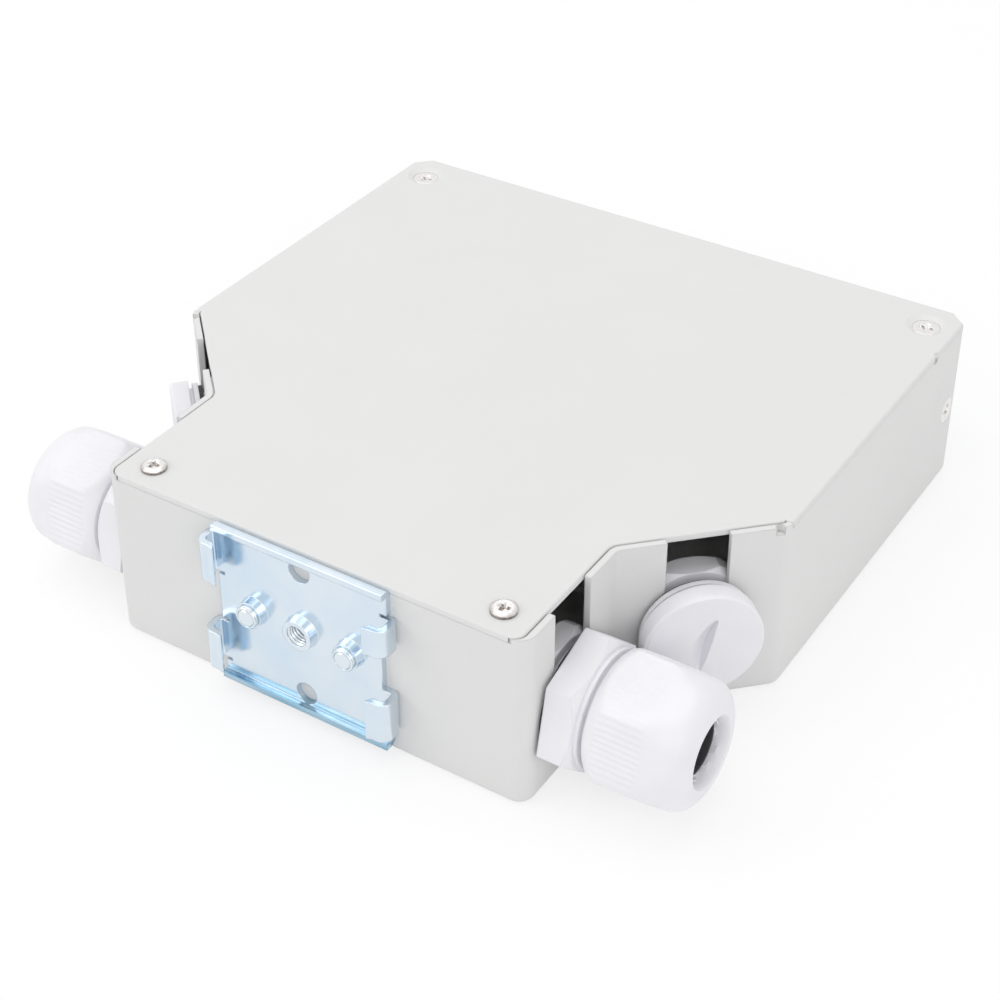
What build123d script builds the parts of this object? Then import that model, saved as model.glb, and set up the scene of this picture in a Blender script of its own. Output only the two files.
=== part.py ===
from build123d import *
import math
import os

os.makedirs("parts", exist_ok=True)

# Fibre box for a 35 mm rail. All sizes are in millimetres.
# Z is up, the box lies flat, X runs along the face that carries the rail clip.
# The origin is on the underside, in the middle of the box depth.

# Box
box_height = 35.0
box_depth = 128.0
narrow_width = 86.0
wide_width = 128.0
neck_depth = 28.0
shoulder = 21.0
sheet = 1.2
bend_outer = 3.0
bend_inner = bend_outer - sheet
floor_bend = 1.5
side_wall_gap_above = 0.2
rear_return = 4.0

# Cover
cover_gap = 0.3
cover_inset = sheet + cover_gap
cover_corner = 2.2
cover_rear_chamfer = 3.0
cover_edge_round = 0.3
relief_radius = 0.8
rear_relief_from_rear = 16.0

# Cover and panel screws
screw_radius = 1.5
front_head_radius = 2.3
front_head_height = 0.9
front_screw_length = 5.0
countersink_radius = 2.7
front_screw_x = 35.7
front_screw_from_front = 5.0
rear_screw_x = 58.2
rear_screw_from_rear = 7.0
side_screw_from_rear = 5.5
side_screw_below_middle = 1.0
dimple_radius = 3.9
dimple_depth = 0.6

# Cable entries
gland_z = 14.6
plug_z = 16.8
entry_hole_radius = 8.1
entry_slot_width = 11.0
gland_from_front = 14.0
plug_along_shoulder = 14.0
thread_radius = 8.0

# Gland, lengths measured outwards from the wall
gasket_thickness = 0.8
gasket_radius = 10.0
gland_hex = 22.0
gland_hex_turn = 12.5
gland_flange_corner = 12.6
gland_flange_straight = 5.2
gland_flange_end = 6.4
gland_bore_radius = 5.2
gland_ring_radius = 10.4
gland_ring_end = 7.2
gland_neck_radius = 9.2
dome_start = 8.0
dome_end = 25.8
dome_hex = 22.4
dome_start_radius = 11.2
dome_corner_radius = 12.8
dome_corner_start = 11.0
dome_corner_end = 19.0
dome_tip_radius = 8.2
dome_opening_radius = 5.6
gland_thread_radius = 8.6
gland_thread_end = 14.0
thread_play = 0.05
claw_end = 19.0
seal_radius = 6.15
seal_bore_radius = 4.5
seal_start = 9.0
seal_end = 20.0
gland_tail = 10.0
locknut_hex = 20.0
locknut_corner_radius = 11.0
locknut_thickness = 4.5

# Blanking plug
plug_head_radius = 10.5
plug_head_start = 2.6
plug_head_end = 6.0
plug_rim_radius = 10.0
plug_rim_end = 1.8
plug_groove_radius = 9.0
plug_ring_radius = 9.4
plug_tail = 8.0
plug_bore_radius = 6.2
coin_radius = 9.0
coin_depth = 2.0
coin_turn = 14.0

# Rail clip
clip_sheet = 1.2
clip_inner_half = 17.9
clip_plate_half = 17.4
clip_low = 2.0
clip_below_top = 0.1
clip_flange = 2.4
clip_hook_depth = 4.8
clip_hook_root = 3.4
clip_lip_end = 15.3
clip_hook_low_margin = 3.8
clip_hook_margin = 2.2
clip_hook_gap = 10.9
clip_short_hook = 3.4
clip_short_drop = 0.8
clip_hook_relief = 0.7
clip_centre_rise = 1.7
clip_boss_height = 1.8
clip_centre_hole = 2.0
clip_centre_boss = 2.9
clip_screw_x = 10.0
clip_screw_radius = 2.0
clip_screw_head = 3.8
clip_screw_head_height = 2.4
clip_small_boss = 2.5
clip_plain_hole = 2.15
clip_plain_margin = 3.4

# Adapter panel, adapters and caps
panel_flange = 9.3
adapter_pitch = 18.0
adapter_count = 6
adapter_width = 9.3
adapter_height = 13.1
adapter_below_middle = 0.4
adapter_play = 0.1
adapter_inwards = 15.6
adapter_outwards = 11.2
adapter_flange_width = 11.6
adapter_flange_height = 17.0
adapter_flange = 1.6
adapter_clip_width = 10.8
adapter_clip_height = 10.0
socket_width = 6.8
socket_height = 9.4
sleeve_radius = 2.1
sleeve_bore_radius = 1.25
sleeve_half = 9.0
cap_play = 0.05

# Splice tray
tray_side_gap = 12.8
tray_front_gap = 5.0
tray_rear_gap = 10.0
tray_low = 8.0
tray_floor = 1.5
tray_high = 15.5
tray_wall = 1.4
tray_lid_thickness = 1.2
tray_corner = 8.0
tray_screw_inset = 6.0
spool_x = 28.0
spool_radius = 13.0
comb_half = 8.0

front = -box_depth / 2
rear = box_depth / 2
narrow_half = narrow_width / 2
wide_half = wide_width / 2
top = box_height
cover_under = box_height - sheet
neck_y = front + neck_depth
wide_y = neck_y + shoulder
tan_half = math.tan(math.radians(22.5))
middle_z = box_height / 2
side_screw_z = middle_z - side_screw_below_middle

clip_high = box_height - clip_below_top
clip_centre_z = middle_z + clip_centre_rise
hook_start = clip_low + clip_hook_low_margin
hook_end = clip_high - clip_hook_margin
hook_length = (hook_end - hook_start - clip_hook_gap) / 2
lower_hook = (hook_start, hook_start + hook_length)
upper_hook = (hook_end - hook_length, hook_end)
short_hook = (upper_hook[0] - clip_short_drop, upper_hook[1] - clip_short_hook)

panel_back = rear - sheet
panel_face = panel_back - sheet
adapter_z = middle_z - adapter_below_middle
adapter_outside = panel_back + adapter_outwards
adapter_inside = panel_face - adapter_inwards

tray_length = wide_width - 2 * sheet - 2 * tray_side_gap
tray_front = wide_y - tray_front_gap
tray_rear = adapter_inside - tray_rear_gap
tray_width = tray_rear - tray_front
tray_centre_y = (tray_front + tray_rear) / 2


# Small shape helpers
def rounded_face(corners):
    """Flat face from a list of x, y, corner radius."""
    pairs = zip(corners, corners[1:] + corners[:1])
    if sum(a[0] * b[1] - b[0] * a[1] for a, b in pairs) < 0:
        corners = corners[::-1]
    edges = []
    joints = []
    count = len(corners)
    for i in range(count):
        p = Vector(corners[i][0], corners[i][1])
        r = corners[i][2]
        back = (Vector(*corners[i - 1][:2]) - p).normalized()
        ahead = (Vector(*corners[(i + 1) % count][:2]) - p).normalized()
        if r <= 0:
            joints.append((p, p, None))
            continue
        half = math.radians(back.get_angle(ahead)) / 2
        reach = r / math.tan(half)
        middle = (back + ahead).normalized()
        centre = p + middle * (r / math.sin(half))
        joints.append((p + back * reach, p + ahead * reach, centre - middle * r))
    for i in range(count):
        start, end, via = joints[i]
        if via is not None:
            edges.append(ThreePointArc(start, via, end))
        following = joints[(i + 1) % count][0]
        if (following - end).length > 1e-6:
            edges.append(Line(end, following))
    return Face(Wire(edges))


def slab(corners, low, high):
    """Upright prism from rounded corners between two heights."""
    return Pos(0, 0, low) * extrude(rounded_face(corners), high - low)


def block(x0, x1, y0, y1, z0, z1):
    """Box between two opposite corners."""
    centre = Pos((x0 + x1) / 2, (y0 + y1) / 2, (z0 + z1) / 2)
    return centre * Box(abs(x1 - x0), abs(y1 - y0), abs(z1 - z0))


def rod(radius, low, high):
    """Round bar on the Z axis."""
    return Pos(0, 0, (low + high) / 2) * Cylinder(radius, high - low)


def taper(low_radius, high_radius, low, high):
    """Cone on the Z axis, its radius given at both heights."""
    return Pos(0, 0, (low + high) / 2) * Cone(low_radius, high_radius, high - low)


def hexagon(across_flats, low, high):
    """Hexagon bar on the Z axis with a corner on the X axis."""
    outline = RegularPolygon(across_flats / math.sqrt(3), 6)
    return Pos(0, 0, low) * extrude(outline, high - low)


def turned(points):
    """Solid of revolution about Z from radius, height points."""
    corners = [Vector(r, 0, z) for r, z in points]
    face = Face(Wire.make_polygon(corners, close=True))
    return revolve(face, Axis.Z)


def plan(inset, rear_inset, outer_radius, inner_radius):
    """Plan outline of the box moved inwards by an amount."""
    shift = tan_half * inset
    half = [
        (narrow_half - inset, front + inset, outer_radius),
        (narrow_half - inset, neck_y + shift, inner_radius),
        (wide_half - inset, wide_y + shift, outer_radius),
        (wide_half - inset, rear - rear_inset, outer_radius),
    ]
    other = [(-x, y, r) for x, y, r in reversed(half)]
    return half + other


def cross_recess(radius, depth, z_top):
    """Cutter for a cross recess that opens at a height."""
    arm = taper(radius * 0.45, radius, z_top - depth, z_top + 0.01)
    bar_x = block(-radius, radius, -0.4, 0.4, z_top - depth, z_top + 0.02)
    bar_y = block(-0.4, 0.4, -radius, radius, z_top - depth, z_top + 0.02)
    return arm & (bar_x + bar_y)


def both_sides(shape):
    """A shape and its mirror image across the middle."""
    return [shape, mirror(shape, about=Plane.YZ)]


# Where things sit
right_gland = Location((narrow_half, front + gland_from_front, gland_z)) * Rotation(0, 90, 0)
plug_x = narrow_half + plug_along_shoulder / math.sqrt(2)
plug_y = neck_y + plug_along_shoulder / math.sqrt(2)
right_plug = Location((plug_x, plug_y, plug_z)) * Rotation(0, 0, -45) * Rotation(0, 90, 0)


# Cover outline
def cover_plan(clearance):
    """Plan of the cover, set in behind the narrow and slanted walls."""
    inset = cover_inset - clearance
    shift = tan_half * inset
    step_y = wide_y + 1.1
    step_x = wide_half - inset
    half = [
        (narrow_half - inset, front, cover_corner),
        (narrow_half - inset, neck_y + shift, bend_outer + cover_gap),
        (step_x, wide_y + shift, 0),
        (step_x, step_y, 0),
        (wide_half, step_y, 0.8),
        (wide_half, rear - cover_rear_chamfer, 0),
        (wide_half - cover_rear_chamfer, rear, 0),
    ]
    other = [(-x, y, r) for x, y, r in reversed(half)]
    return half + other


# Screws, drawn point down with the head seat at height zero
def pan_screw(radius, head_radius, head_height, length):
    """Pan-head screw with cross recess."""
    head = rod(head_radius, 0, head_height * 0.55)
    head += taper(head_radius, head_radius * 0.72, head_height * 0.55, head_height)
    shank = rod(radius, -length, 0)
    shank = chamfer(shank.edges().group_by(Axis.Z)[0], radius * 0.3)
    recess = cross_recess(head_radius * 0.52, head_height * 0.75, head_height)
    return head + shank - recess


def flat_screw_envelope(radius, head_radius, length):
    """Countersunk screw without its recess, top at height zero."""
    cone = taper(radius, head_radius, radius - head_radius, 0)
    return cone + rod(radius, -length, radius - head_radius)


def flat_screw(radius, head_radius, length):
    """Countersunk screw with cross recess, top at height zero."""
    body = flat_screw_envelope(radius, head_radius, length)
    return body - cross_recess(head_radius * 0.55, 1.0, 0)


front_screw_at = Location((front_screw_x, front + front_screw_from_front, top))
rear_screw_at = Location((rear_screw_x, rear - rear_screw_from_rear, top - dimple_depth))
side_screw_at = Location((wide_half, rear - side_screw_from_rear, side_screw_z)) * Rotation(0, 90, 0)
clip_screw_at = Location((clip_screw_x, front + sheet, clip_centre_z)) * Rotation(-90, 0, 0)


# Base shell
def keyhole(place, height):
    """Round entry hole at a height, with a slot up to the rim."""
    hole = place * rod(entry_hole_radius, -3, 3)
    half = entry_slot_width / 2
    slot = place * block(-(top - height) - 2, 0, -half, half, -3, 3)
    return hole + slot


def base_shell():
    """Folded floor and walls in one sheet."""
    body = slab(plan(0, 0, bend_outer, bend_inner), 0, top - side_wall_gap_above)
    body = fillet(body.faces().sort_by(Axis.Z)[0].edges(), floor_bend)
    body -= slab(plan(sheet, sheet, bend_inner, bend_outer), sheet, top + 1)
    body -= slab(cover_plan(cover_gap), cover_under, top + 1)
    window = wide_half - rear_return
    body -= block(-window, window, rear - sheet - 0.5, rear + 1, sheet, top + 1)
    body -= block(-wide_half - 1, wide_half + 1, wide_y + 1.1, rear + 1, cover_under, top + 1)
    tab_y = front + sheet
    for side in (-1, 1):
        x = side * front_screw_x
        tab = block(x - 5, x + 5, tab_y, tab_y + 8, cover_under - sheet, cover_under)
        nut = Pos(x, front + front_screw_from_front, 0) * rod(2.6, cover_under - sheet - 1.4, cover_under - sheet)
        body += tab + nut
        body -= Pos(x, front + front_screw_from_front, 0) * rod(screw_radius, 20, top)
        clip_hole = Pos(side * clip_screw_x, front, clip_centre_z) * Rotation(90, 0, 0)
        body -= clip_hole * rod(clip_screw_radius + 0.2, -3, 3)
        body -= Pos(side * (wide_half - 1.4), wide_y - 0.9, 0) * rod(relief_radius, cover_under - 0.5, top)
        relief_y = rear - rear_relief_from_rear
        body -= Pos(side * (wide_half - 0.3), relief_y, 0) * rod(relief_radius, cover_under - 0.8, top)
    for cutter in (keyhole(right_gland, gland_z), keyhole(right_plug, plug_z)):
        for one in both_sides(cutter):
            body -= one
    side_cut = side_screw_at * flat_screw_envelope(screw_radius, countersink_radius, 8)
    for one in both_sides(side_cut):
        body -= one
    return body


# Cover
def top_cover():
    """Flat cover plate with rounded edge and two dimples."""
    plate = slab(cover_plan(0), cover_under, top)
    plate = fillet(plate.faces().sort_by(Axis.Z)[-1].edges(), cover_edge_round)
    for side in (-1, 1):
        plate -= Pos(side * front_screw_x, front + front_screw_from_front, 0) * rod(1.7, 20, top + 1)
        dimple = taper(countersink_radius, dimple_radius, top - dimple_depth, top + 0.001)
        plate -= Pos(side * rear_screw_x, rear - rear_screw_from_rear, 0) * dimple
        relief_y = rear - rear_relief_from_rear
        plate -= Pos(side * (wide_half + 0.2), relief_y, 0) * rod(relief_radius * 0.8, cover_under - 1, top + 1)
    rear_cut = rear_screw_at * flat_screw_envelope(screw_radius, countersink_radius, 8)
    for one in both_sides(rear_cut):
        plate -= one
    return plate


# Adapter panel
def adapter_places():
    """Middles of the adapter openings along X."""
    start = -(adapter_count - 1) * adapter_pitch / 2
    return [start + i * adapter_pitch for i in range(adapter_count)]


def adapter_panel():
    """Folded rear panel with four flanges and the adapter openings."""
    back = panel_back
    face = panel_face
    reach = back - panel_flange
    side = wide_half - sheet
    plate_half = side - 2.2
    panel = block(-plate_half, plate_half, face, back, sheet, cover_under)
    panel += block(-plate_half, plate_half, reach, back, cover_under - sheet, cover_under)
    panel += block(-plate_half, plate_half, reach + 1.5, back, sheet, 2 * sheet)
    outer = [(-side, reach, 0), (side, reach, 0), (side, back, 2.0), (-side, back, 2.0)]
    inner = [
        (-side + sheet, reach - 1, 0),
        (side - sheet, reach - 1, 0),
        (side - sheet, face, 0.8),
        (-side + sheet, face, 0.8),
    ]
    panel += slab(outer, sheet + 1.8, cover_under - 2.8) - slab(inner, sheet, cover_under)
    half_x = adapter_width / 2 + adapter_play
    half_z = adapter_height / 2 + adapter_play
    for x in adapter_places():
        panel -= block(x - half_x, x + half_x, face - 1, back + 1, adapter_z - half_z, adapter_z + half_z)
    rear_cut = rear_screw_at * flat_screw_envelope(screw_radius, countersink_radius, 8)
    side_cut = side_screw_at * flat_screw_envelope(screw_radius, countersink_radius, 8)
    for cutter in (rear_cut, side_cut):
        for one in both_sides(cutter):
            panel -= one
    return panel


# Rail clip
def clip_hook(low, high):
    """Right-hand hook, a web and a curled lip."""
    web_out = clip_inner_half + clip_sheet
    plate_y = front - clip_sheet
    lip_out = front - clip_hook_depth
    lip_in = lip_out + clip_sheet
    root = clip_plate_half - clip_hook_root
    profile = [
        (root, plate_y, 0),
        (clip_inner_half, plate_y, 0.4),
        (clip_inner_half, lip_in, 0.9),
        (clip_lip_end + 0.6, lip_in, 0.4),
        (clip_lip_end, lip_in - 0.7, 0),
        (clip_lip_end - 0.5, lip_out - 0.4, 0.2),
        (clip_lip_end + 0.9, lip_out, 0.6),
        (web_out, lip_out, 2.1),
        (web_out, front, 1.5),
        (root, front, 0),
    ]
    return slab(profile, low, high)


def din_rail_clip():
    """Folded strip with hooks, bosses and plain holes."""
    plate_y = front - clip_sheet
    flange_y = front - clip_flange
    profile = [
        (front, clip_low, 1.4),
        (flange_y, clip_low, 0),
        (flange_y, clip_low + clip_sheet, 0),
        (plate_y, clip_low + clip_sheet, 0.3),
        (plate_y, clip_high - clip_sheet, 0.3),
        (flange_y, clip_high - clip_sheet, 0),
        (flange_y, clip_high, 0),
        (front, clip_high, 1.4),
    ]
    side_face = Plane.YZ * rounded_face(profile)
    clip = Pos(-clip_plate_half, 0, 0) * extrude(side_face, 2 * clip_plate_half)
    left_hooks = (lower_hook, upper_hook)
    right_hooks = (lower_hook, short_hook)
    edge = clip_plate_half - 1.3
    limit = clip_high - clip_sheet - 0.3
    for low, high in right_hooks:
        clip -= block(edge, 30, front - 9, front + 1, low - clip_hook_relief, high + clip_hook_relief)
        clip += clip_hook(low, high)
    for low, high in left_hooks:
        clip -= block(-30, -edge, front - 9, front + 1, low - clip_hook_relief, min(high + clip_hook_relief, limit))
        clip += mirror(clip_hook(low, high), about=Plane.YZ)
    notch_low = lower_hook[1] + clip_hook_relief
    notch_high = short_hook[0] - clip_hook_relief
    clip -= block(edge, 30, front - 9, front + 1, notch_low, notch_high)
    turn = Rotation(90, 0, 0)
    centre = Pos(0, front, clip_centre_z) * turn
    clip += centre * taper(clip_centre_boss + 0.3, clip_centre_boss, clip_sheet, clip_sheet + clip_boss_height)
    clip -= centre * rod(clip_centre_hole, -0.5, 8)
    for x in (-clip_screw_x, clip_screw_x):
        small = Pos(x, front, clip_centre_z) * turn
        clip += small * taper(clip_small_boss + 0.2, clip_small_boss, clip_sheet, clip_sheet + clip_boss_height)
        clip -= small * rod(clip_screw_radius, -0.5, 8)
    for z in (clip_low + clip_plain_margin, clip_high - clip_plain_margin):
        clip -= Pos(0, front, z) * turn * rod(clip_plain_hole, -0.5, 8)
    return clip


# Cable gland, drawn along Z with the wall's outer face at height zero
def gland_body():
    """Threaded body with hexagon flange and clamping claws."""
    corner = gland_flange_corner
    limit = rod(corner, gasket_thickness, gland_flange_straight)
    limit += taper(corner, gland_hex / 2, gland_flange_straight, gland_flange_end)
    flange = hexagon(gland_hex, gasket_thickness, gland_flange_end) & limit
    body = Rotation(0, 0, -gland_hex_turn) * flange
    body += rod(gland_ring_radius, gland_flange_end, gland_ring_end)
    body += rod(gland_neck_radius, gland_ring_end, dome_start)
    tail = rod(thread_radius, -gland_tail, gasket_thickness)
    body += chamfer(tail.edges().group_by(Axis.Z)[0], 0.6)
    body += rod(gland_thread_radius, dome_start, gland_thread_end)
    body += taper(7.6, 6.75, gland_thread_end, claw_end)
    body -= rod(gland_bore_radius, -gland_tail - 1, seal_start)
    body -= rod(seal_radius + thread_play, seal_start, claw_end + 1)
    for i in range(3):
        body -= Rotation(0, 0, 60 * i + 30) * block(-9, 9, -0.4, 0.4, gland_thread_end + 0.5, claw_end + 1)
    return body


def gland_dome_nut():
    """Hexagon nut, chamfered at its start, that rounds off into a dome."""
    rise = dome_end - dome_corner_end
    narrowing = dome_corner_radius - dome_tip_radius
    last = math.radians(82.0)
    outer = [
        (0, dome_start),
        (dome_start_radius - 0.5, dome_start),
        (dome_start_radius, dome_start + 0.5),
        (dome_corner_radius, dome_corner_start),
    ]
    steps = 7
    for i in range(steps + 1):
        angle = last * i / steps
        radius = dome_corner_radius - narrowing * (1 - math.cos(angle)) / (1 - math.cos(last))
        outer.append((radius, dome_corner_end + rise * math.sin(angle) / math.sin(last)))
    outer.append((0, dome_end))
    hexagon_bar = Rotation(0, 0, -gland_hex_turn) * hexagon(dome_hex, dome_start, dome_end)
    nut = turned(outer) & hexagon_bar
    bore = gland_thread_radius + thread_play
    inner = [(0, dome_start - 1), (bore, dome_start - 1), (bore, gland_thread_end + 2.0)]
    inner += [(dome_opening_radius, dome_end - 3.8), (dome_opening_radius, dome_end - 0.5)]
    inner += [(dome_opening_radius + 0.6, dome_end + 0.1), (0, dome_end + 0.1)]
    return nut - turned(inner)


def gland_seal():
    """Rubber sealing insert around the cable."""
    outer = rod(seal_radius, seal_start, seal_end)
    outer = chamfer(outer.edges().group_by(Axis.Z)[-1], 0.5)
    return outer - rod(seal_bore_radius, seal_start - 1, seal_end + 1)


def flat_gasket(radius):
    """Flat ring between a flange and the wall."""
    return rod(radius, 0, gasket_thickness) - rod(thread_radius, -1, gasket_thickness + 1)


def locknut():
    """Hexagon nut inside the wall, a flat side up, chamfered on both faces."""
    low = -sheet - locknut_thickness
    wide = locknut_corner_radius
    narrow = locknut_hex / 2
    limit = taper(narrow, wide, low, low + 1.0)
    limit += rod(wide, low + 1.0, -sheet - 1.0)
    limit += taper(wide, narrow, -sheet - 1.0, -sheet)
    nut = hexagon(locknut_hex, low, -sheet) & limit
    return Rotation(0, 0, 30) * nut - rod(thread_radius, low - 1, 1)


# Blanking plug, drawn along Z with the wall's outer face at height zero
def blanking_plug():
    """Threaded plug with a curved coin slot in its head."""
    head = rod(plug_head_radius, plug_head_start, plug_head_end - 0.5)
    head += taper(plug_head_radius, plug_head_radius - 0.5, plug_head_end - 0.5, plug_head_end)
    plug = head + rod(plug_groove_radius, plug_rim_end, plug_head_start)
    plug += rod(plug_rim_radius, gasket_thickness, plug_rim_end)
    tail = rod(thread_radius, -plug_tail, gasket_thickness)
    plug += chamfer(tail.edges().group_by(Axis.Z)[0], 0.6)
    plug -= rod(plug_bore_radius, -plug_tail - 1, plug_rim_end - 0.4)
    return plug - Rotation(0, 0, -coin_turn) * coin_slot()


def coin_slot():
    """Wedge-edged disc that cuts the slot, deepest in the middle."""
    low = plug_head_end - coin_depth
    high = plug_head_end + 0.6
    wedge = Face(Wire.make_polygon([
        Vector(0, -2.8, high),
        Vector(0, 1.1, high),
        Vector(0, 0.7, low),
        Vector(0, 0.1, low),
    ], close=True))
    middle = Axis((0, 0, low + coin_radius), (0, 1, 0))
    return revolve(wedge, middle)


# Fibre adapters and dust caps
def fibre_adapter(x):
    """Adapter with a socket at each end and a centre sleeve."""
    half_x = adapter_width / 2
    half_z = adapter_height / 2
    flange_x = adapter_flange_width / 2
    flange_z = adapter_flange_height / 2
    clip_x = adapter_clip_width / 2
    clip_z = adapter_clip_height / 2
    inner = adapter_inside
    outer = adapter_outside
    z = adapter_z
    body = block(x - half_x, x + half_x, inner, outer, z - half_z, z + half_z)
    body += block(x - flange_x, x + flange_x, panel_back, panel_back + adapter_flange, z - flange_z, z + flange_z)
    body += block(x - clip_x, x + clip_x, panel_face - adapter_flange, panel_face, z - clip_z, z + clip_z)
    middle = (inner + outer) / 2
    socket_x = socket_width / 2
    socket_z = socket_height / 2
    for y0, y1 in ((inner - 1, middle - 1), (middle + 1, outer + 1)):
        body -= block(x - socket_x, x + socket_x, y0, y1, z - socket_z, z + socket_z)
    for y0, y1 in ((inner - 1, inner + 6), (outer - 6, outer + 1)):
        body -= block(x - 1.3, x + 1.3, y0, y1, z, z + half_z + 1)
    sleeve = Pos(x, middle, z) * Rotation(90, 0, 0)
    body += sleeve * rod(sleeve_radius, -sleeve_half, sleeve_half)
    body -= sleeve * rod(sleeve_bore_radius, -sleeve_half - 1, sleeve_half + 1)
    return body


def dust_cap(x, outwards):
    """Cap with a plug that fits the adapter's socket."""
    mouth = adapter_outside if outwards else adapter_inside
    way = 1 if outwards else -1
    z = adapter_z
    plug_x = socket_width / 2 - cap_play
    plug_z = socket_height / 2 - cap_play
    wall = 0.85
    cap = block(x - plug_x, x + plug_x, mouth - way * 3.5, mouth, z - plug_z, z + plug_z)
    hollow_x = plug_x - wall
    hollow_z = plug_z - wall
    cap -= block(x - hollow_x, x + hollow_x, mouth - way * 4.5, mouth, z - hollow_z, z + hollow_z)
    rim_x = plug_x + 0.75
    rim_z = plug_z + 0.95
    cap += block(x - rim_x, x + rim_x, mouth, mouth + way * 1.2, z - rim_z, z + rim_z)
    return cap + block(x - 0.8, x + 0.8, mouth + way * 1.2, mouth + way * 4.4, z - 4.0, z + 4.0)


# Splice tray
def tray_corners(inset, radius):
    """Rounded outline of the tray moved inwards by an amount."""
    x = tray_length / 2 - inset
    y0 = tray_front + inset
    y1 = tray_rear - inset
    return [(-x, y0, radius), (x, y0, radius), (x, y1, radius), (-x, y1, radius)]


def tray_screw_places():
    """Four screw points of the tray."""
    x = tray_length / 2 - tray_screw_inset
    rows = (tray_front + tray_screw_inset, tray_rear - tray_screw_inset)
    return [(side * x, y) for side in (-1, 1) for y in rows]


def splice_tray():
    """Shallow tray with splice holder and two fibre spools."""
    inside = tray_low + tray_floor
    tray = slab(tray_corners(0, tray_corner), tray_low, tray_high)
    tray -= slab(tray_corners(tray_wall, tray_corner - tray_wall), inside, tray_high + 1)
    for x in (-spool_x, spool_x):
        spool = rod(spool_radius, inside, tray_high - 0.5) - rod(spool_radius - tray_wall, inside, tray_high)
        tray += Pos(x, tray_centre_y, 0) * spool
    y0 = tray_centre_y - comb_half
    y1 = tray_centre_y + comb_half
    for i in range(7):
        x = -12 + 4 * i
        tray += block(x - 0.5, x + 0.5, y0, y1, inside, inside + 4.5)
    for y in (tray_front, tray_rear):
        for x in (-30, 30):
            tray -= block(x - 4, x + 4, y - 3, y + 3, inside, tray_high + 1)
    for x, y in tray_screw_places():
        tray -= Pos(x, y, 0) * rod(1.7, 0, tray_high)
    return tray


def tray_lid():
    """Flat lid on the tray rim with two finger notches."""
    lid = slab(tray_corners(0, tray_corner), tray_high, tray_high + tray_lid_thickness)
    for y in (tray_front - 4, tray_rear + 4):
        lid -= Pos(0, y, 0) * rod(8, tray_high - 1, tray_high + 3)
    return lid


def tray_standoff(x, y):
    """Hexagon post on the floor with a tapped hole."""
    post = hexagon(5.5, sheet, tray_low) - rod(screw_radius, 3.0, tray_low + 1)
    return Pos(x, y, 0) * post


# Write one file per piece
def save(name, shape, colour):
    """Export one named piece."""
    solid = shape
    solid.label = name
    solid.color = Color(*colour)
    export_step(solid, "parts/" + name + ".step")
    print(name, round(solid.volume, 1), len(solid.solids()))


paint = (0.80, 0.80, 0.78)
zinc = (0.70, 0.80, 0.88)
steel = (0.78, 0.76, 0.75)
white = (0.90, 0.90, 0.93)
grey = (0.35, 0.36, 0.38)
black = (0.08, 0.08, 0.09)
blue = (0.10, 0.28, 0.62)

save("base_shell", base_shell(), paint)
save("top_cover", top_cover(), paint)
save("adapter_panel", adapter_panel(), paint)
save("din_rail_clip", din_rail_clip(), zinc)

front_screw = pan_screw(screw_radius, front_head_radius, front_head_height, front_screw_length)
front_screw = front_screw_at * front_screw
rear_screw = rear_screw_at * flat_screw(screw_radius, countersink_radius, 6.0)
side_screw = side_screw_at * flat_screw(screw_radius, countersink_radius, 6.0)
clip_reach = sheet + clip_sheet + clip_boss_height + 1.0
clip_screw = pan_screw(clip_screw_radius, clip_screw_head, clip_screw_head_height, clip_reach)
clip_screw = clip_screw_at * clip_screw
pieces = {
    "cover_screw_front": (front_screw, steel),
    "cover_screw_rear": (rear_screw, steel),
    "panel_screw": (side_screw, steel),
    "clip_screw": (clip_screw, zinc),
    "gland_body": (right_gland * gland_body(), white),
    "gland_dome_nut": (right_gland * gland_dome_nut(), white),
    "gland_seal": (right_gland * gland_seal(), grey),
    "gland_gasket": (right_gland * flat_gasket(gasket_radius), black),
    "gland_locknut": (right_gland * locknut(), white),
    "blanking_plug": (right_plug * blanking_plug(), white),
    "plug_ring": (right_plug * flat_gasket(plug_ring_radius), black),
    "plug_locknut": (right_plug * locknut(), white),
}
for name, (shape, colour) in pieces.items():
    save(name + "_right", shape, colour)
    save(name + "_left", mirror(shape, about=Plane.YZ), colour)

for number, x in enumerate(adapter_places(), 1):
    save("fibre_adapter_%d" % number, fibre_adapter(x), blue)
    save("outer_dust_cap_%d" % number, dust_cap(x, True), white)
    save("inner_dust_cap_%d" % number, dust_cap(x, False), white)

save("splice_tray", splice_tray(), white)
save("splice_tray_lid", tray_lid(), white)
standoffs = [tray_standoff(x, y) for x, y in tray_screw_places()]
save("tray_standoffs", Compound(children=standoffs), steel)
tray_screw = pan_screw(screw_radius, 2.7, 1.8, 6.0)
screws = [Pos(x, y, tray_low + tray_floor) * tray_screw for x, y in tray_screw_places()]
save("tray_screws", Compound(children=screws), steel)
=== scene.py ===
import math

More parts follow.
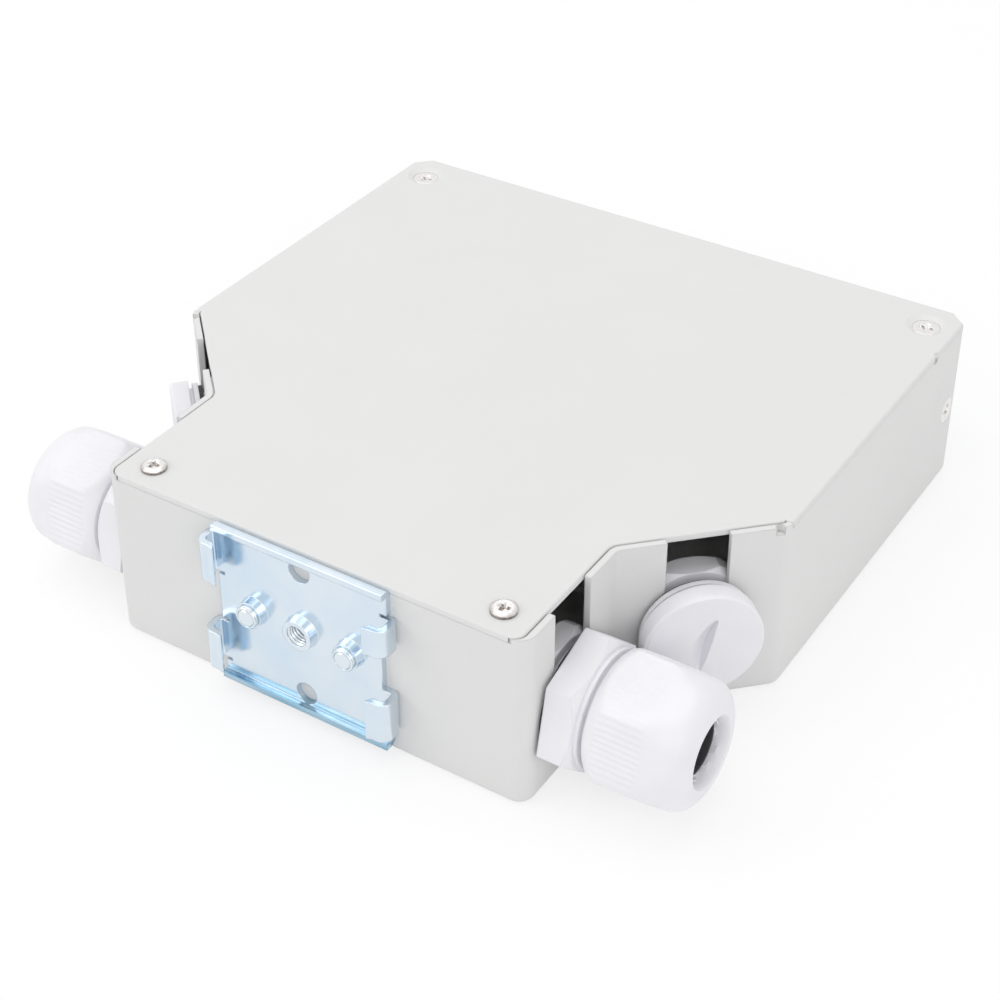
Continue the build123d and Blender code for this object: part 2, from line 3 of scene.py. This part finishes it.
import bpy
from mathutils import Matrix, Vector


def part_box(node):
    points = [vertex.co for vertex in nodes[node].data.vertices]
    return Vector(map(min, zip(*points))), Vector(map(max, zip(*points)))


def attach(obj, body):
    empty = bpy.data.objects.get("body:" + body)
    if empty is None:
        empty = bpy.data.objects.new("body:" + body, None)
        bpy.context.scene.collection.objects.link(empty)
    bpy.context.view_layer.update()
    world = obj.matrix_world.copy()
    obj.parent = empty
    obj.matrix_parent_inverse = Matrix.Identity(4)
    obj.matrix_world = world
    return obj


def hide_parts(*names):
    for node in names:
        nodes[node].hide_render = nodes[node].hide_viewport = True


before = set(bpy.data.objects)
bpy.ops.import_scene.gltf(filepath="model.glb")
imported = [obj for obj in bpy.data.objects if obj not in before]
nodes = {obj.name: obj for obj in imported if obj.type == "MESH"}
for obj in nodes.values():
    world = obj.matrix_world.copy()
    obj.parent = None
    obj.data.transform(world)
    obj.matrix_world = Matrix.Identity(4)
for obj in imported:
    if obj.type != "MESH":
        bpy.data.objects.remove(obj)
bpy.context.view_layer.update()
scene = bpy.context.scene


# The table and the studio light.
# A plain white table top runs out of view; a soft sky and three large soft boxes
# light the box evenly, a little stronger from the top and from the left.
def node_tree(material):
    """Fresh node tree of a material, with its output node."""
    material.use_nodes = True
    tree = material.node_tree
    tree.nodes.clear()
    return tree, tree.nodes.new("ShaderNodeOutputMaterial")


def seen_directly(tree):
    """Socket that is one for camera, mirror and see-through rays."""
    path = tree.nodes.new("ShaderNodeLightPath")
    first = tree.nodes.new("ShaderNodeMath")
    first.operation = "MAXIMUM"
    second = tree.nodes.new("ShaderNodeMath")
    second.operation = "MAXIMUM"
    tree.links.new(path.outputs["Is Camera Ray"], first.inputs[0])
    tree.links.new(path.outputs["Is Glossy Ray"], first.inputs[1])
    tree.links.new(first.outputs[0], second.inputs[0])
    tree.links.new(path.outputs["Is Transmission Ray"], second.inputs[1])
    return second.outputs[0]


sky_strength = 0.58
table_half = 6.0
table_glow = 1.03
table_glow_share = 0.7

world = bpy.data.worlds.new("studio_sky")
scene.world = world
world.use_nodes = True
sky = world.node_tree
sky.nodes.clear()
sky_out = sky.nodes.new("ShaderNodeOutputWorld")
sky_light = sky.nodes.new("ShaderNodeBackground")
sky_light.inputs["Color"].default_value = (1, 1, 1, 1)
sky_light.inputs["Strength"].default_value = sky_strength
sky_white = sky.nodes.new("ShaderNodeBackground")
sky_white.inputs["Color"].default_value = (1, 1, 1, 1)
sky_white.inputs["Strength"].default_value = 1.0
sky_mix = sky.nodes.new("ShaderNodeMixShader")
sky.links.new(seen_directly(sky), sky_mix.inputs["Fac"])
sky.links.new(sky_light.outputs[0], sky_mix.inputs[1])
sky.links.new(sky_white.outputs[0], sky_mix.inputs[2])
sky.links.new(sky_mix.outputs[0], sky_out.inputs["Surface"])

table_mesh = bpy.data.meshes.new("table_top")
corners = [(-table_half, -table_half, 0), (table_half, -table_half, 0),
           (table_half, table_half, 0), (-table_half, table_half, 0)]
table_mesh.from_pydata(corners, [], [(0, 1, 2, 3)])
table = bpy.data.objects.new("table_top", table_mesh)
scene.collection.objects.link(table)
table_white = bpy.data.materials.new("white_table")
tree, out = node_tree(table_white)
paper = tree.nodes.new("ShaderNodeBsdfDiffuse")
paper.inputs["Color"].default_value = (0.95, 0.95, 0.95, 1)
plain_white = tree.nodes.new("ShaderNodeEmission")
plain_white.inputs["Color"].default_value = (1, 1, 1, 1)
plain_white.inputs["Strength"].default_value = table_glow
share = tree.nodes.new("ShaderNodeMath")
share.operation = "MULTIPLY"
share.inputs[1].default_value = table_glow_share
tree.links.new(seen_directly(tree), share.inputs[0])
paper_mix = tree.nodes.new("ShaderNodeMixShader")
tree.links.new(share.outputs[0], paper_mix.inputs["Fac"])
tree.links.new(paper.outputs[0], paper_mix.inputs[1])
tree.links.new(plain_white.outputs[0], paper_mix.inputs[2])
tree.links.new(paper_mix.outputs[0], out.inputs["Surface"])
table_mesh.materials.append(table_white)


def soft_box(name, place, size, power):
    """Square lamp that faces the middle of the table."""
    data = bpy.data.lights.new(name, "AREA")
    data.shape = "SQUARE"
    data.size = size
    data.energy = power
    lamp = bpy.data.objects.new(name, data)
    lamp.location = place
    lamp.rotation_mode = "QUATERNION"
    lamp.rotation_quaternion = (-Vector(place)).to_track_quat("-Z", "Y")
    scene.collection.objects.link(lamp)


soft_box("top_soft_box", (-0.25, 0.10, 1.30), 1.4, 6.7)
soft_box("left_soft_box", (-1.10, -0.90, 0.80), 1.0, 4.0)
soft_box("right_soft_box", (1.05, -0.65, 0.65), 0.9, 3.3)


# Camera.
# It stands to the right of the clip and looks down on the box through a longish
# lens. A small shift of the lens makes the upright edges converge a little less.
camera_azimuth = math.radians(32.52)
camera_height_angle = math.radians(32.4)
camera_distance = 0.416
camera_aim = Vector((-0.0219, 0.0302, 0.014))
camera_data = bpy.data.cameras.new("photo_camera")
camera_data.sensor_width = 36.0
camera_data.lens = 72.6
camera_data.shift_y = -0.14
camera_data.clip_start = 0.01
camera_data.clip_end = 20.0
camera = bpy.data.objects.new("photo_camera", camera_data)
scene.collection.objects.link(camera)
towards_camera = Vector((
    math.sin(camera_azimuth) * math.cos(camera_height_angle),
    -math.cos(camera_azimuth) * math.cos(camera_height_angle),
    math.sin(camera_height_angle),
))
camera.location = camera_aim + towards_camera * camera_distance
camera.rotation_mode = "QUATERNION"
camera.rotation_quaternion = (-towards_camera).to_track_quat("-Z", "Y")
scene.camera = camera
scene.view_settings.view_transform = "Standard"


# Base shell, cover and adapter panel.
# Folded 1.2 mm sheet steel, powder coated in a light grey with a fine, even
# orange-peel skin; the coat runs over the cut edges and rounds them slightly.
def surface(tree, out, colour, roughness, metallic=0.0):
    """Principled shader with its plain values set on its own sockets."""
    shader = tree.nodes.new("ShaderNodeBsdfPrincipled")
    shader.inputs["Base Color"].default_value = (*colour, 1)
    shader.inputs["Roughness"].default_value = roughness
    shader.inputs["Metallic"].default_value = metallic
    tree.links.new(shader.outputs[0], out.inputs["Surface"])
    return shader


def grain(tree, scale, detail=2.0):
    """Noise that is fixed to the piece, its scale in grains per metre."""
    place = tree.nodes.new("ShaderNodeTexCoord")
    noise = tree.nodes.new("ShaderNodeTexNoise")
    noise.inputs["Scale"].default_value = scale
    noise.inputs["Detail"].default_value = detail
    tree.links.new(place.outputs["Object"], noise.inputs["Vector"])
    return noise.outputs["Fac"]


def between(tree, factor, low, high):
    """Colour that goes from low to high with a factor."""
    ramp = tree.nodes.new("ShaderNodeValToRGB")
    ramp.color_ramp.elements[0].position = 0.3
    ramp.color_ramp.elements[1].position = 0.7
    ramp.color_ramp.elements[0].color = (*low, 1)
    ramp.color_ramp.elements[1].color = (*high, 1)
    tree.links.new(factor, ramp.inputs["Fac"])
    return ramp.outputs["Color"]


def value_between(tree, factor, low, high):
    """Number that goes from low to high with a factor."""
    span = tree.nodes.new("ShaderNodeMapRange")
    span.inputs["From Min"].default_value = 0.3
    span.inputs["From Max"].default_value = 0.7
    span.inputs["To Min"].default_value = low
    span.inputs["To Max"].default_value = high
    tree.links.new(factor, span.inputs["Value"])
    return span.outputs["Result"]


def relief(tree, shader, heights, depth, edge_radius):
    """Bump from a height, over edges that are rounded by a small radius."""
    edge = tree.nodes.new("ShaderNodeBevel")
    edge.samples = 6
    edge.inputs["Radius"].default_value = edge_radius
    bump = tree.nodes.new("ShaderNodeBump")
    bump.inputs["Distance"].default_value = depth
    bump.inputs["Strength"].default_value = 1.0
    tree.links.new(heights, bump.inputs["Height"])
    tree.links.new(edge.outputs[0], bump.inputs["Normal"])
    tree.links.new(bump.outputs[0], shader.inputs["Normal"])


def powder_coat(name, colour):
    """Light grey powder coat with a fine even skin."""
    material = bpy.data.materials.new(name)
    tree, out = node_tree(material)
    shader = surface(tree, out, colour, 0.5)
    cloud = grain(tree, 45.0, 3.0)
    darker = [c * 0.985 for c in colour]
    tree.links.new(between(tree, cloud, darker, colour), shader.inputs["Base Color"])
    tree.links.new(value_between(tree, grain(tree, 900.0), 0.42, 0.56), shader.inputs["Roughness"])
    shader.inputs["Specular IOR Level"].default_value = 0.35
    relief(tree, shader, grain(tree, 2600.0, 3.0), 0.000012, 0.00035)
    return material


def dress(node, material):
    """Gives a whole CAD node one material."""
    mesh = nodes[node].data
    mesh.materials.clear()
    mesh.materials.append(material)


paint = powder_coat("light_grey_powder_coat", (0.80, 0.80, 0.795))
for node in ("base_shell", "top_cover", "adapter_panel"):
    dress(node, paint)


# Rail clip and the two screws that hold it.
# One strip of 1.2 mm steel, punched and folded, then zinc plated and passivated
# to a pale blue shine with faint rolling lines; the deeper blue streaks at its foot
# are painted shade and painted reflection at the fold and on the flange.
def zinc_plating(name, colour, roughness):
    """Blue passivated zinc with a faint rolled grain and pale clouds."""
    material = bpy.data.materials.new(name)
    tree, out = node_tree(material)
    shader = surface(tree, out, colour, roughness, 1.0)
    cloud = grain(tree, 90.0, 4.0)
    bluer = (colour[0] * 0.86, colour[1] * 0.94, colour[2])
    tree.links.new(between(tree, cloud, bluer, colour), shader.inputs["Base Color"])
    tree.links.new(value_between(tree, grain(tree, 400.0), roughness * 0.8, roughness * 1.25),
                   shader.inputs["Roughness"])
    place = tree.nodes.new("ShaderNodeTexCoord")
    stretch = tree.nodes.new("ShaderNodeMapping")
    stretch.inputs["Scale"].default_value = (120.0, 120.0, 4000.0)
    lines = tree.nodes.new("ShaderNodeTexNoise")
    lines.inputs["Scale"].default_value = 1.0
    tree.links.new(place.outputs["Object"], stretch.inputs["Vector"])
    tree.links.new(stretch.outputs[0], lines.inputs["Vector"])
    relief(tree, shader, lines.outputs["Fac"], 0.000004, 0.0003)
    return material


def paint_shade_below(material, height, shade_colour):
    """Painted shade and painted reflection: streaks of a darker colour on metal under a height,
    fading out upwards.
    """
    fade = 0.0005
    tree = material.node_tree
    shader = next(node for node in tree.nodes if node.type == "BSDF_PRINCIPLED")
    base = shader.inputs["Base Color"]
    place = tree.nodes.new("ShaderNodeTexCoord")
    parts = tree.nodes.new("ShaderNodeSeparateXYZ")
    tree.links.new(place.outputs["Object"], parts.inputs[0])
    foot = tree.nodes.new("ShaderNodeMapRange")
    foot.inputs["From Min"].default_value = height
    foot.inputs["From Max"].default_value = height + fade
    foot.inputs["To Min"].default_value = 1.0
    foot.inputs["To Max"].default_value = 0.0
    tree.links.new(parts.outputs["Z"], foot.inputs["Value"])
    stretch = tree.nodes.new("ShaderNodeMapping")
    stretch.inputs["Scale"].default_value = (60.0, 1500.0, 1500.0)
    tree.links.new(place.outputs["Object"], stretch.inputs["Vector"])
    streaks = tree.nodes.new("ShaderNodeTexNoise")
    streaks.inputs["Scale"].default_value = 1.0
    tree.links.new(stretch.outputs[0], streaks.inputs["Vector"])
    amount = tree.nodes.new("ShaderNodeMath")
    amount.operation = "MULTIPLY"
    tree.links.new(foot.outputs["Result"], amount.inputs[0])
    tree.links.new(value_between(tree, streaks.outputs["Fac"], 0.35, 1.0), amount.inputs[1])
    mix = tree.nodes.new("ShaderNodeMix")
    mix.data_type = "RGBA"
    tree.links.new(amount.outputs[0], mix.inputs[0])
    if base.is_linked:
        tree.links.new(base.links[0].from_socket, mix.inputs[6])
    else:
        mix.inputs[6].default_value = base.default_value[:]
    mix.inputs[7].default_value = (*shade_colour, 1)
    tree.links.new(mix.outputs[2], shader.inputs["Base Color"])


clip_foot_height = 0.0034
clip_zinc = zinc_plating("blue_zinc_plating", (0.755, 0.815, 0.87), 0.2)
# Painted shade and painted reflection: deeper blue streaks on the clip's foot, below the fold.
paint_shade_below(clip_zinc, clip_foot_height, (0.24, 0.44, 0.58))
screw_zinc = zinc_plating("screw_zinc_plating", (0.80, 0.84, 0.86), 0.2)
dress("din_rail_clip", clip_zinc)
for side in ("left", "right"):
    dress("clip_screw_" + side, screw_zinc)


# Cover, panel and tray screws.
# Cross-recessed steel screws, nickel plated and bright: countersunk at the rear and
# the sides, and pan headed in the tray and at the front, where a painted brown
# reflection and painted shade darken them low on the head and in the recess.
recess_height = 0.03533
bright_steel = bpy.data.materials.new("bright_nickel_steel")
tree, out = node_tree(bright_steel)
shader = surface(tree, out, (0.80, 0.785, 0.775), 0.2, 1.0)
tree.links.new(value_between(tree, grain(tree, 1500.0), 0.16, 0.3), shader.inputs["Roughness"])
relief(tree, shader, grain(tree, 3000.0), 0.000006, 0.0002)
pan_head_painted_shade_steel = bright_steel.copy()
pan_head_painted_shade_steel.name = "bright_nickel_steel_pan_head"
# Painted reflection and painted shade: dark brown low on the front pan heads and in their
# recesses.
paint_shade_below(pan_head_painted_shade_steel, recess_height, (0.16, 0.11, 0.09))
for side in ("left", "right"):
    dress("cover_screw_front_" + side, pan_head_painted_shade_steel)
    for place in ("cover_screw_rear_", "panel_screw_"):
        dress(place + side, bright_steel)
dress("tray_screws", bright_steel)


# Cable glands.
# Moulded white nylon body, dome nut and locknut, with a dark rubber sleeve that
# grips the cable and a thin black ring under the flange.
def moulded(name, colour, roughness, skin=0.00002):
    """Moulded plastic with a satin skin and a trace of colour change."""
    material = bpy.data.materials.new(name)
    tree, out = node_tree(material)
    shader = surface(tree, out, colour, roughness)
    darker = [c * 0.97 for c in colour]
    cloud = grain(tree, 120.0, 3.0)
    tree.links.new(between(tree, cloud, darker, colour), shader.inputs["Base Color"])
    tree.links.new(value_between(tree, grain(tree, 700.0), roughness * 0.85, roughness * 1.15),
                   shader.inputs["Roughness"])
    relief(tree, shader, grain(tree, 1800.0, 3.0), skin, 0.0003)
    return material


nylon = moulded("white_nylon", (0.915, 0.91, 0.945), 0.42)
seal_rubber = moulded("grey_seal_rubber", (0.05, 0.05, 0.055), 0.6)
ring_rubber = moulded("black_ring_rubber", (0.05, 0.05, 0.055), 0.65)
for side in ("left", "right"):
    dress("gland_body_" + side, nylon)
    dress("gland_locknut_" + side, nylon)
    dress("gland_dome_nut_" + side, nylon)
    dress("gland_seal_" + side, seal_rubber)
    dress("gland_gasket_" + side, ring_rubber)


# Dome nuts.
# Moulded in the body's white nylon: a hexagon bar with fine grip ribs that tapers
# and rounds off into a dome, screwed over the claws to press them on the cable.
def new_piece(name, points, faces, material, crease_degrees):
    """Mesh piece that is smooth but for its sharper edges."""
    mesh = bpy.data.meshes.new(name)
    mesh.from_pydata(points, [], faces)
    mesh.materials.append(material)
    mesh.shade_smooth()
    mesh.set_sharp_from_angle(angle=math.radians(crease_degrees))
    piece = bpy.data.objects.new(name, mesh)
    scene.collection.objects.link(piece)
    return piece


def closed_ring_faces(rows, columns):
    """Faces of a ring whose rows and columns both close on themselves."""
    faces = []
    for i in range(rows):
        for j in range(columns):
            k = (j + 1) % columns
            m = (i + 1) % rows
            faces.append((i * columns + j, i * columns + k, m * columns + k, m * columns + j))
    return faces


def soft_least(first, second, blend):
    """Smaller of two values, rounded where they meet."""
    near = max(blend - abs(first - second), 0.0) / blend
    return min(first, second) - near * near * blend / 4


def along(value, stops):
    """Straight-line value between pairs of place and value."""
    for (a, low), (b, high) in zip(stops, stops[1:]):
        if value <= b:
            return low + (high - low) * (value - a) / (b - a)
    return stops[-1][1]


def round_gland(x, middle, radius, angle):
    """Point at a radius and angle round a gland's axis, which runs along X."""
    return (x, middle.y + radius * math.sin(angle), middle.z + radius * math.cos(angle))


nut_half = 0.0112
nut_turn = math.radians(12.5)
nut_blend = 0.0007
nut_tip = 0.0076
nut_mouth = 0.0056
nut_bore = 0.00865
rib_count = 66
rib_depth = 0.00017
rib_columns = 8
rib_fade = [(0.0, 0.0), (0.0018, 0.0), (0.0024, 1.0), (0.0098, 1.0), (0.0106, 0.0), (1.0, 0.0)]
dome_foot = (0.0130, 0.0115)
dome_arc = math.radians(80)
dome_steps = 16
nut_start = [(0.0, 0.0104), (0.0006, 0.0111), (0.0030, 0.0128), (0.0090, 0.0128), dome_foot]


def nut_reach(out, length):
    """Largest radius of the nut at a distance from its start."""
    foot, foot_radius = dome_foot
    if out <= foot:
        return along(out, nut_start)
    turn = math.asin(min((out - foot) / (length - foot), 1.0) * math.sin(dome_arc))
    share = (1 - math.cos(turn)) / (1 - math.cos(dome_arc))
    return foot_radius - (foot_radius - nut_tip) * share


def dome_nut(side):
    """Ribbed hexagon nut with a domed end, open along its axis."""
    node = "gland_dome_nut_" + side
    low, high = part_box(node)
    way = 1 if side == "right" else -1
    start = low.x if way > 0 else high.x
    length = high.x - low.x
    middle = (low + high) / 2
    stops = [0.0, 0.0003, 0.0006, 0.0012, 0.0018, 0.0021, 0.0024, 0.0030, 0.0040, 0.0060, 0.0080]
    stops += [0.0090, 0.0098, 0.0102, 0.0106, 0.0114, 0.0122, 0.0130]
    for step in range(1, dome_steps + 1):
        share = math.sin(dome_arc * step / dome_steps) / math.sin(dome_arc)
        stops.append(dome_foot[0] + (length - dome_foot[0]) * share)
    inside = [(length, nut_mouth + 0.0008), (length - 0.0004, nut_mouth + 0.0004)]
    inside += [(length - 0.0016, nut_mouth), (length - 0.0034, nut_mouth)]
    inside += [(0.0080, nut_bore), (0.0, nut_bore)]
    columns = rib_count * rib_columns
    points = []
    for out in stops:
        ribbed = along(out, rib_fade)
        limit = nut_reach(out, length)
        for j in range(columns):
            angle = 2 * math.pi * j / columns
            from_corner = (angle - nut_turn) % (math.pi / 3) - math.pi / 6
            flat = nut_half / math.cos(from_corner)
            flat -= ribbed * rib_depth * (0.5 - 0.5 * math.cos(rib_count * angle))
            radius = soft_least(flat, limit, nut_blend)
            points.append(round_gland(start + way * out, middle, radius, angle))
    for out, radius in inside:
        for j in range(columns):
            angle = 2 * math.pi * j / columns
            points.append(round_gland(start + way * out, middle, radius, angle))
    faces = closed_ring_faces(len(stops) + len(inside), columns)
    if way > 0:
        faces = [face[::-1] for face in faces]
    nut = new_piece("dome_nut_" + side, points, faces, nylon, 35)
    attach(nut, "dome_nut_" + side)
    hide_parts(node)


for side in ("left", "right"):
    dome_nut(side)


# Clamping inserts.
# A dark rubber sleeve grips the cable inside a crown of white claws, which bend
# inwards at the mouth of the dome nut; both slide out with the nut.
claw_count = 12
claw_first = 7
claw_uneven = 0.0004
claw_path = [(-0.0060, 0.00625, 0.0006), (-0.0046, 0.0057, 0.0005), (-0.0032, 0.0052, 0.0004),
             (-0.0023, 0.0051, 0.0004), (-0.0015, 0.0051, 0.0003)]
claw_widths = [26.0, 25.0, 24.0, 22.0, 11.0]
lip_section = [(-0.0062, 0.00455), (-0.0062, 0.0054), (-0.0050, 0.0052), (-0.0024, 0.00488),
               (-0.0021, 0.00475), (-0.0022, 0.0046), (-0.0030, 0.00455)]


def insert_points(side):
    """Mouth, middle and outward direction of a gland."""
    low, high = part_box("gland_dome_nut_" + side)
    way = 1 if side == "right" else -1
    mouth = high.x if way > 0 else low.x
    return mouth, (low + high) / 2, way


def claw_crown(side):
    """Twelve bent claws in one ring."""
    mouth, middle, way = insert_points(side)
    points = []
    faces = []
    for number in range(claw_count):
        centre = 360.0 * number / claw_count + claw_first
        longer = claw_uneven * (number * 5 % 3 - 1)
        first = len(points)
        for (out, radius, thick), width in zip(claw_path, claw_widths):
            if out > -0.002:
                out += longer
            for r in (radius - thick / 2, radius + thick / 2):
                for turn in (-0.5, -0.17, 0.17, 0.5):
                    angle = math.radians(centre + turn * width)
                    points.append(round_gland(mouth + way * out, middle, r, angle))
        rings = len(claw_path)
        order = [0, 1, 2, 3, 7, 6, 5, 4]
        for i in range(rings - 1):
            for j in range(8):
                a = first + i * 8 + order[j]
                b = first + i * 8 + order[(j + 1) % 8]
                faces.append((a, b, b + 8, a + 8))
        last = first + (rings - 1) * 8
        faces.append(tuple(first + k for k in reversed(order)))
        faces.append(tuple(last + k for k in order))
    if way < 0:
        faces = [face[::-1] for face in faces]
    crown = new_piece("claw_crown_" + side, points, faces, nylon, 35)
    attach(crown, "seal_" + side)


def seal_lip(side):
    """Front end of the rubber sleeve, inside the claws."""
    mouth, middle, way = insert_points(side)
    columns = 64
    points = []
    for out, radius in lip_section:
        for j in range(columns):
            angle = 2 * math.pi * j / columns
            points.append(round_gland(mouth + way * out, middle, radius, angle))
    faces = closed_ring_faces(len(lip_section), columns)
    if way > 0:
        faces = [face[::-1] for face in faces]
    lip = new_piece("seal_lip_" + side, points, faces, seal_rubber, 50)
    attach(lip, "seal_" + side)


for side in ("left", "right"):
    claw_crown(side)
    seal_lip(side)


# Threads in the clip's bosses.
# The centre boss is tapped, and the ends of the two screws that hold the clip
# stand out of theirs; each shows a few plated turns.
screw_end_proud = 0.0010
screw_end_pitch = 0.00042
centre_pitch = 0.0006


def thread_turns(name, x, z, start, turns, pitch, root, crest, buried):
    """Rings with the section of a V thread round an axis along Y, closed in the metal."""
    profile = []
    for step in range(2 * turns + 1):
        profile.append((start + step * pitch / 2, crest if step % 2 else root))
    profile += [(profile[-1][0], buried), (start, buried)]
    columns = 64
    points = []
    for y, radius in profile:
        for j in range(columns):
            angle = 2 * math.pi * j / columns
            points.append((x + radius * math.sin(angle), y, z + radius * math.cos(angle)))
    faces = closed_ring_faces(len(profile), columns)
    if buried > crest:
        faces = [face[::-1] for face in faces]
    piece = new_piece(name, points, faces, screw_zinc, 30)
    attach(piece, "box")


for side in ("left", "right"):
    low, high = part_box("clip_screw_" + side)
    middle = (low + high) / 2
    thread_turns("screw_end_thread_" + side, middle.x, middle.z, low.y + 0.0001, 2,
                 screw_end_pitch, 0.00195, 0.00218, 0.0017)
boss_face = low.y + screw_end_proud
thread_turns("centre_boss_thread", 0.0, middle.z, boss_face + 0.0003, 5,
             centre_pitch, 0.00198, 0.00168, 0.00215)


# Blanking plugs.
# Moulded white plugs with a coin slot close the entries in the slanted walls,
# each held by a locknut and sealed by a thin ring.
for side in ("left", "right"):
    dress("blanking_plug_" + side, nylon)
    dress("plug_locknut_" + side, nylon)
    dress("plug_ring_" + side, ring_rubber)


# Fibre adapters and dust caps.
# Blue moulded adapters clip into the rear panel; soft milky caps close both ends.
adapter_blue = moulded("adapter_blue", (0.05, 0.20, 0.55), 0.35)
cap_plastic = moulded("milky_cap_plastic", (0.82, 0.84, 0.86), 0.3)
for number in range(1, 7):
    dress("fibre_adapter_%d" % number, adapter_blue)
    dress("outer_dust_cap_%d" % number, cap_plastic)
    dress("inner_dust_cap_%d" % number, cap_plastic)


# Splice tray.
# Thin moulded tray with its lid, on turned brass posts, in the middle of the box.
tray_plastic = moulded("tray_plastic", (0.80, 0.80, 0.79), 0.4)
dress("splice_tray", tray_plastic)
dress("splice_tray_lid", tray_plastic)
brass = bpy.data.materials.new("turned_brass")
tree, out = node_tree(brass)
shader = surface(tree, out, (0.78, 0.62, 0.34), 0.3, 1.0)
tree.links.new(value_between(tree, grain(tree, 1500.0), 0.22, 0.38), shader.inputs["Roughness"])
relief(tree, shader, grain(tree, 3000.0), 0.000006, 0.0002)
dress("tray_standoffs", brass)
